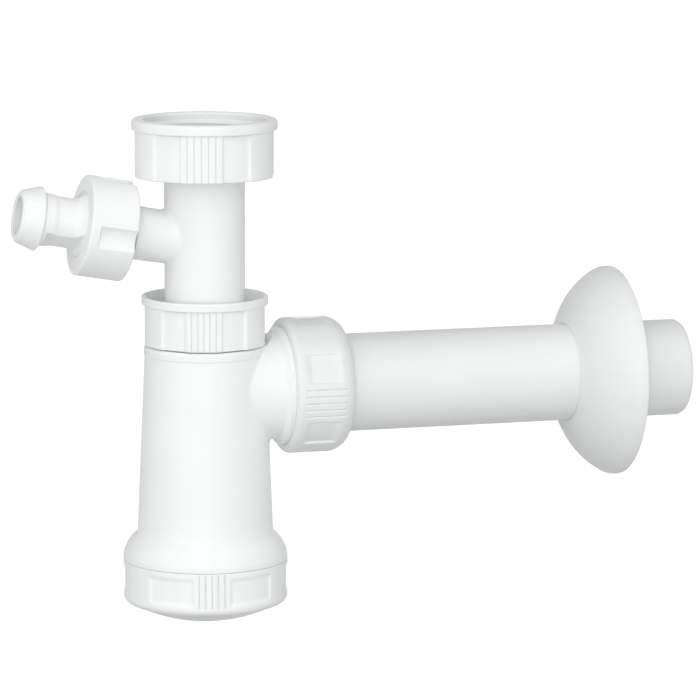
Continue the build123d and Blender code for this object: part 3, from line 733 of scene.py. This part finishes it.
corners += [
    (cup_r["wall"], cup_h["fine_low"], 0, 0.2),
    (cup_r["wall"], cup_h["even_low"], 0, 3),
    (cup_r["wall"], cup_h["even_high"], 0, 0.2),
    (cup_r["wall"], cup_h["fine_high"], 0, 1),
    (cup_r["wall"], cup_h["ribs"], 0, FINE),
    (cup_r["wall"], cup_h["top"], 0.35, 1),
    (cup_r["bore"], cup_h["top"], 0.3, 0.3),
    (cup_r["bore"], cup_h["seat"], 0.2, 2),
    (cup_r["well"], cup_h["seat"], 0.3, 2),
    (cup_r["well"], dome_height(cup_r["well"], cup_wall), 0.3, 2),
]
corners += [(r, dome_height(r, cup_wall), 0, 4) for r in well_r]
section = half_section(corners, closed=False)
angles = grip_angles(cup_turn, cup_pocket_turn, cup_rib_pitch, cup_r["wall"], cup_slope)
stand_for(turned("bottom_cup_skin", upright, section, angles, cup_change, closed=False), "bottom_cup")

# %% [markdown]
# ## The hose nut
# A smaller union nut holds the hose tail. Four scoops give the fingers hold: each is a groove cut by a
# round tool that lies along the nut. Instead of a Boolean with four cylinders, the depth at any angle is
# read off where that tool's circle lies.

# %% Hose nut
BRANCH_START = 45.0
scoop_count, scoop_turn, scoop_r, scoop_depth, scoop_half = 4, -5.5, 7.0, 2.1, 18.0
scoop_apart, scoop_fade = 360 / scoop_count, 0.8
SCOOP_RIM, RIM_WIDTH, RIM_TINT = (0.19, 0.25), 0.2, 0.5
ring_r = dict(lip=13.28, bore=16.925, outside=19.1, wall=20.3)
ring_h = dict(start=32.8, fine_low=47.4, thread_top=47.6, scoop_top=48.4, fine_high=48.6, lip=49.2, end=52.2)
ring_thread = dict(bore=ring_r["bore"], pitch=PIPE_PITCH, depth=1.45, start=BRANCH_START)
ring_thread.update(low=ring_h["start"], high=ring_h["thread_top"])


def hose_change(r, h, a):
    """Four scoops: the near side of a circle of radius s at distance d lies at d cos t - root(s2 - d2
    sin2 t) from the axis. Inside is the female pipe thread."""
    t = np.radians((np.degrees(a) - scoop_turn + scoop_apart / 2) % scoop_apart - scoop_apart / 2)
    d = ring_r["wall"] - scoop_depth + scoop_r
    under = np.maximum(scoop_r**2 - (d * np.sin(t)) ** 2, 0)
    near = d * np.cos(t) - np.sqrt(under)
    depth = np.where(under > 0, np.maximum(ring_r["wall"] - near, 0), 0)
    on_wall = (r > ring_r["outside"]) * smooth((ring_h["scoop_top"] - h) / scoop_fade)
    rim = (np.abs(t) > SCOOP_RIM[0]) * (np.abs(t) < SCOOP_RIM[1]) * np.exp(-((depth / RIM_WIDTH) ** 2))
    return -depth * on_wall - female_thread(r, h, a, **ring_thread), RIM_TINT * rim * on_wall


section = half_section(
    [
        (ring_r["bore"], ring_h["start"], 0.3, 1),
        (ring_r["wall"], ring_h["start"], 0.9, 3),
        (ring_r["wall"], ring_h["fine_low"], 0, 0.15),
        (ring_r["wall"], ring_h["fine_high"], 0, 2),
        (ring_r["wall"], ring_h["end"], 1.1, 2),
        (ring_r["lip"], ring_h["end"], 0.2, 1),
        (ring_r["lip"], ring_h["lip"], 0.2, 1),
        (ring_r["bore"], ring_h["lip"], 0.2, 0.21),
    ]
)
across = np.linspace(-scoop_half, scoop_half, 49)
scoops = scoop_turn + scoop_apart * np.arange(scoop_count)[:, None] + across
even = np.arange(0, 360, 2.5)
angles = np.unique(np.round(np.concatenate([even, scoops.ravel() % 360]), 3))
stand_for(turned("hose_nut_skin", branch, section, angles, hose_change), "hose_nut")

# %% [markdown]
# ## The hose tail
# The tail is one turning: a hidden flange, a flare, a waisted neck, a ring, the barb and its tip. Two
# spanner flats cross the neck. They could be sliced off, but a flat at distance f from the axis simply
# limits the radius to f / cos of the angle from its middle.

# %% Hose tail
flat_turn, flat_at, flat_low, flat_high, flat_end = np.radians(-60.0), 8.6, 52.4, 67.4, 0.25
LEAST_COS, FLAT_EDGE, FLAT_TINT = 0.2, 0.25, 0.7
tail_r = dict(bore=7.6, outside=8.1, end=9.65, neck=10.1, tip=10.65, waist=10.72, ring=10.85)
tail_r.update(barb=13.0, root=13.2, flange=16.625)
tail_h = dict(start=46.9, flange=49.0, flare=52.7, waist=55.0, neck=57.6, neck_end=63.0, ring=64.9)
tail_h.update(fine_low=67.0, fine_high=67.7, ring_end=68.4, barb=69.6, tip=77.0, end=78.0)


def tail_change(r, h, a):
    """Two flats across the neck, with steep ends and slightly rounded edges."""
    limit = flat_at / np.maximum(np.abs(np.cos(a - flat_turn)), LEAST_COS)
    within = run_out(h, flat_low, flat_high, flat_end) * (r > tail_r["outside"])
    cut = np.maximum(r - limit, 0) * within
    line = np.exp(-(((r - limit) / FLAT_EDGE) ** 2)) * within
    return -cut, FLAT_TINT * line


flare = [(tail_r[r], tail_h[h]) for r, h in (("root", "flare"), ("waist", "waist"), ("neck", "neck"))]
section = half_section(
    [
        (tail_r["bore"], tail_h["start"], 0.3, 2),
        (tail_r["flange"], tail_h["start"], 0.3, 2),
        (tail_r["flange"], tail_h["flange"], 0.3, 2),
        (tail_r["root"], tail_h["flange"], 0.3, 1.5),
        (tail_r["root"], flat_low, 0, 0.13),
        *bow(*flare, 14),
        (tail_r["neck"], tail_h["neck_end"], 1.5, 0.4),
        (tail_r["ring"], tail_h["ring"], 1.5, 1),
        (tail_r["ring"], tail_h["fine_low"], 0, 0.13),
        (tail_r["ring"], tail_h["fine_high"], 0, 0.4),
        (tail_r["ring"], tail_h["ring_end"], 0.3, 0.4),
        (tail_r["barb"], tail_h["barb"], 0.35, 2),
        (tail_r["tip"], tail_h["tip"], 0.9, 0.4),
        (tail_r["end"], tail_h["end"], 0.5, 0.6),
        (tail_r["bore"], tail_h["end"], 0.4, 4),
    ]
)
angles = np.arange(0, 360, 1.5)
stand_for(turned("hose_tail_skin", branch, section, angles, tail_change), "hose_tail")

# %% [markdown]
# ## The outlet pipe
# The pipe is a straight tube with a chamfered spigot and one fine ring that marks how far it goes
# into the wall. A cylinder with a bevel would nearly do; the section also gives the ring its own edges.

# %% Outlet pipe
pipe_r = dict(bore=17.8, end=19.25, ring=19.5, wall=20.0)
pipe_h = dict(start=36.3, ring_low=172.8, ring_high=174.0, chamfer=202.7, end=204.2)
section = half_section(
    [
        (pipe_r["bore"], pipe_h["start"], 0.3, 2),
        (pipe_r["wall"], pipe_h["start"], 0.6, 12),
        (pipe_r["wall"], pipe_h["ring_low"], 0.15, 0.5),
        (pipe_r["ring"], pipe_h["ring_low"], 0.15, 0.5),
        (pipe_r["ring"], pipe_h["ring_high"], 0.15, 0.5),
        (pipe_r["wall"], pipe_h["ring_high"], 0.15, 8),
        (pipe_r["wall"], pipe_h["chamfer"], 0.8, 0.5),
        (pipe_r["end"], pipe_h["end"], 0.4, 0.5),
        (pipe_r["bore"], pipe_h["end"], 0.4, 12),
    ]
)
stand_for(turned("outlet_pipe_skin", outlet, section), "outlet_pipe")

# %% [markdown]
# ## The rosette
# The rosette is a thin bell that slides on the pipe and hides the hole in the wall. A Solidify modifier
# could give a bell its wall, but two bows, one for each side, keep the lip tight on the pipe and let the
# bell run softly into its rim.

# %% Rosette
lip_gap, rose_wall, rose_bulge = 0.07, 1.6, 2.9
rose_r = dict(lip=pipe_r["wall"] + lip_gap, hole=20.3, lip_edge=20.75, neck=21.1, bell=42.2, rim=43.4)
rose_h = dict(lip=154.3, neck=154.65, hole=155.7, bell=170.1, rim=172.0, rim_turn=172.3, end=175.6)
slope = (rose_r["rim"] - rose_r["neck"]) / (rose_h["rim"] - rose_h["lip"])
lean = np.hypot(1, slope)
mid_r = (rose_r["neck"] + rose_r["rim"]) / 2 + rose_bulge / lean
mid_h = (rose_h["lip"] + rose_h["rim"]) / 2 - rose_bulge * slope / lean
front = (rose_r["neck"], rose_h["neck"]), (mid_r, mid_h), (rose_r["bell"], rose_h["bell"])
inner_rim, inner_neck = rose_r["rim"] - rose_wall, rose_h["lip"] + 2 * rose_wall
hollow = (mid_r - rose_wall / lean, mid_h + rose_wall * slope / lean)
section = half_section(
    [
        (rose_r["hole"], rose_h["hole"], 0, 1),
        (rose_r["lip"], rose_h["neck"], 0.05, 1),
        (rose_r["lip"], rose_h["lip"], 0.05, 1),
        (rose_r["lip_edge"], rose_h["lip"], 0.2, 1),
        *bow(*front, 22),
        (rose_r["rim"], rose_h["rim_turn"], 6.0, 2),
        (rose_r["rim"], rose_h["end"], 0.55, 1),
        (inner_rim, rose_h["end"], 0.35, 2),
        *bow((inner_rim, rose_h["rim"]), hollow, (rose_r["hole"], inner_neck), 22),
    ]
)
stand_for(turned("rosette_skin", outlet, section), "rosette")

# %% [markdown]
# ## Male threads
# The neck, the outlet stub, the cup's spigot and the hose branch have plain walls at the root of their
# threads. Their solids could be rebuilt with teeth, but a thin sleeve with climbing teeth on each wall is
# enough. It starts just below the wall, so only the teeth come out of it.

# %% Thread sleeves
SLEEVE_UNDER, SLEEVE_MIDDLE, SLEEVE_DEEP, SLEEVE_FADE = 0.06, 0.3, 0.6, 1.2
ROWS_A_PITCH = 10
sleeve_angles = np.arange(0, 360, 3.0)
fine = dict(pitch=PIPE_PITCH, depth=1.5)


def thread_sleeve(name, body, place, root, low, high, start, pitch, depth):
    """Ring whose outer wall is the root plus the tooth's height; its ends lie under the wall."""
    wall, inside = root - SLEEVE_UNDER, root - SLEEVE_DEEP

    def change(r, h, a):
        """Male tooth on the outer wall, running out towards both ends."""
        rise = tooth(h, a, pitch, depth + SLEEVE_UNDER, start, True) * run_out(h, low, high, SLEEVE_FADE)
        return rise * (r > root - SLEEVE_MIDDLE), 0 * a + 0 * r

    outer = [(wall, low, 0.1, pitch / ROWS_A_PITCH), (wall, high, 0.1, 1)]
    line = half_section([(inside, low, 0.1, 1), *outer, (inside, high, 0.1, 2)])
    piece = turned(name, place, line, sleeve_angles, change)
    piece.data.materials.append(body_white)
    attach(piece, body)


for *row, teeth in (
    ("neck_thread", "bottle", upright, 20.5, -87.9, -82.2, NECK_START, coarse),
    ("stub_thread", "bottle", outlet, 23.0, 32.6, 48.3, STUB_START, coarse),
    ("spigot_thread", "bottle", upright, 28.6, -185.4, -176.0, SPIGOT_START, coarse),
    ("branch_thread", "inlet_tee", branch, 15.125, 36.7, 44.3, BRANCH_START, fine),
):
    thread_sleeve(*row, **teeth)

# %% [markdown]
# ## World light
# The photograph is a catalogue picture: soft light from the camera's side, pure white behind. Softboxes
# could be area lamps around the trap. Here the world itself is brightest around one direction, a little
# left of the camera and nearly level, and dim behind the object. What the camera sees straight, or by
# mirror or glass, is plain white instead.

# %% World light
light_from = Vector((-0.36, -0.93, 0.04)).normalized()
FADE_FROM, FADE_TO = -0.4, 0.8
DIM_BEHIND, BRIGHT_FRONT = 0.12, 1.37
PURE_WHITE = (1, 1, 1, 1)


def seen_directly(tree, x, y):
    """1 for rays that come from the camera, straight or by mirror or glass, and 0 for all others."""
    ray = wire(tree, "ShaderNodeLightPath", (x, y)).outputs
    either = arithmetic(tree, (x + 200, y), "MAXIMUM", ray["Is Camera Ray"], ray["Is Glossy Ray"])
    return arithmetic(tree, (x + 400, y), "MAXIMUM", either, ray["Is Transmission Ray"])


world = bpy.data.worlds.new("studio")
scene.world = world
world.use_nodes = True
tree = world.node_tree
tree.nodes.clear()
seen = seen_directly(tree, -700, 400)
towards = {0: wire(tree, "ShaderNodeTexCoord", (-900, 0)).outputs["Generated"], 1: tuple(light_from)}
facing = wire(tree, "ShaderNodeVectorMath", (-700, 0), towards, operation="DOT_PRODUCT").outputs["Value"]
level = spread(tree, (-500, 0), facing, FADE_FROM, FADE_TO, DIM_BEHIND, BRIGHT_FRONT, "SMOOTHSTEP")
soft = wire(tree, "ShaderNodeBackground", (-250, 0), {"Color": PURE_WHITE, "Strength": level})
white = wire(tree, "ShaderNodeBackground", (-250, 200), {"Color": PURE_WHITE, "Strength": 1.0})
sky = wire(tree, "ShaderNodeMixShader", (0, 100), {0: seen, 1: soft.outputs[0], 2: white.outputs[0]})
wire(tree, "ShaderNodeOutputWorld", (200, 100), {"Surface": sky.outputs[0]})
print("light comes from", [round(v, 2) for v in light_from])

# %% [markdown]
# ## Two lamps
# A world alone gives the shadows little direction, so one lamp shines from where it is brightest. A
# second lamp shines the opposite way: it lights the side that the photograph doesn't show, so that
# the back is white too. It makes no highlights, which would draw a bright line along the top edges. Area
# lamps could do the same, but a sun lamp lights every pose evenly.

# %% Two soft lamps
def soft_lamp(name, direction, energy, wide):
    """Sun lamp that looks as wide as a soft box, in degrees, shining from the given direction."""
    lamp = bpy.data.lights.new(name, "SUN")
    lamp.energy = energy
    lamp.angle = np.radians(wide)
    holder = bpy.data.objects.new(name, lamp)
    holder.rotation_mode = "QUATERNION"
    holder.rotation_quaternion = Vector(direction).to_track_quat("Z", "Y")
    scene.collection.objects.link(holder)
    return holder


soft_lamp("key", light_from, energy=0.5, wide=12)
soft_lamp("behind", (0.36, 0.93, 0.02), energy=2.4, wide=25).visible_glossy = False
print("lamps", [light.name for light in bpy.data.lights])

# %% [markdown]
# ## Floor
# The trap hangs from the sink, so the floor lies well below it. A plain white floor would throw too much
# light up under the pipe, so the paper is darker right under the trap for that light. To the camera it is
# white and keeps its shadow. From below it is clear, so that the trap can be seen from there as well.

# %% Floor sheet
floor_z, floor_half = -0.5, 12.0
floor_mesh = bpy.data.meshes.new("floor")
sheet = [(x * floor_half, y * floor_half, floor_z) for x, y in ((-1, -1), (1, -1), (1, 1), (-1, 1))]
floor_mesh.from_pydata(sheet, [], [(0, 1, 2, 3)])
floor = bpy.data.objects.new("floor", floor_mesh)
scene.collection.objects.link(floor)
print("floor at", floor_z)

# %% [markdown]
# ### Its paper
# One diffuse colour could not be white to the camera and dark to the light, so the material is a mix by
# the kind of ray: a glowing sheet for the camera, a shaded one for light on its way up to the trap.

# %% Paper
SHADE_FROM, SHADE_TO, SHADE_DARK, SHADE_PALE = 0.12, 0.5, 0.35, 0.92
PAPER_GREY, PAPER_GLOW = (0.6, 0.6, 0.6, 1), 0.7
paper = bpy.data.materials.new("paper")
paper.use_nodes = True
tree = paper.node_tree
tree.nodes.clear()
seen = seen_directly(tree, -900, 400)
side = wire(tree, "ShaderNodeNewGeometry", (-300, -300)).outputs["Backfacing"]
spot = {0: wire(tree, "ShaderNodeTexCoord", (-1300, 0)).outputs["Object"], 1: (1, 1, 0)}
plan = wire(tree, "ShaderNodeVectorMath", (-1100, 0), spot, operation="MULTIPLY").outputs[0]
away = wire(tree, "ShaderNodeVectorMath", (-900, 0), {0: plan}, operation="LENGTH").outputs["Value"]
shade = spread(tree, (-700, 0), away, SHADE_FROM, SHADE_TO, SHADE_DARK, SHADE_PALE, "SMOOTHSTEP")
dim = wire(tree, "ShaderNodeBsdfDiffuse", (-500, 0), {"Color": shade})
lit = wire(tree, "ShaderNodeBsdfDiffuse", (-500, 150), {"Color": PAPER_GREY})
glow = wire(tree, "ShaderNodeEmission", (-500, -150), {"Color": PURE_WHITE, "Strength": PAPER_GLOW})
pale = wire(tree, "ShaderNodeAddShader", (-300, 0), {0: lit.outputs[0], 1: glow.outputs[0]})
top = wire(tree, "ShaderNodeMixShader", (-100, 100), {0: seen, 1: dim.outputs[0], 2: pale.outputs[0]})
clear = wire(tree, "ShaderNodeBsdfTransparent", (-100, -200))
sides = wire(tree, "ShaderNodeMixShader", (100, 0), {0: side, 1: top.outputs[0], 2: clear.outputs[0]})
wire(tree, "ShaderNodeOutputMaterial", (300, 0), {"Surface": sides.outputs[0]})
floor_mesh.materials.append(paper)
print("paper has", len(tree.nodes), "nodes")

# %% [markdown]
# ## Camera
# The photograph was taken with a long lens from about 1.6 m, 9 degrees from above and 17 degrees to the
# left of square on to the outlet. The camera could be placed by eye. Azimuth and elevation give its
# backward direction instead, and it stands that distance back from a point on the dip tube's axis, moved
# sideways for the framing.

# %% Camera
view_az, view_el, view_roll = np.radians([-16.605, 9.327, 0.18])
view_far, view_side, aim_z = 1622.1, 58.63, -90.564
back = np.array([np.sin(view_az) * np.cos(view_el), -np.cos(view_az) * np.cos(view_el), np.sin(view_el)])
level_right = np.array([np.cos(view_az), np.sin(view_az), 0])
level_up = np.cross(back, level_right)
right = np.cos(view_roll) * level_right + np.sin(view_roll) * level_up
up = np.cos(view_roll) * level_up - np.sin(view_roll) * level_right
eye = (np.array([0, 0, aim_z]) + view_side * right + view_far * back) * MM
lens = bpy.data.cameras.new("portrait")
lens.sensor_width = 36.0
lens.lens = 206.31
lens.clip_start, lens.clip_end = 0.05, 60.0
camera = bpy.data.objects.new("portrait", lens)
camera.matrix_world = Matrix(np.vstack([np.column_stack([right, up, back, eye]), [0, 0, 0, 1]]))
scene.collection.objects.link(camera)
scene.camera = camera
scene.view_settings.view_transform = "Standard"
print("camera at", eye.round(3))
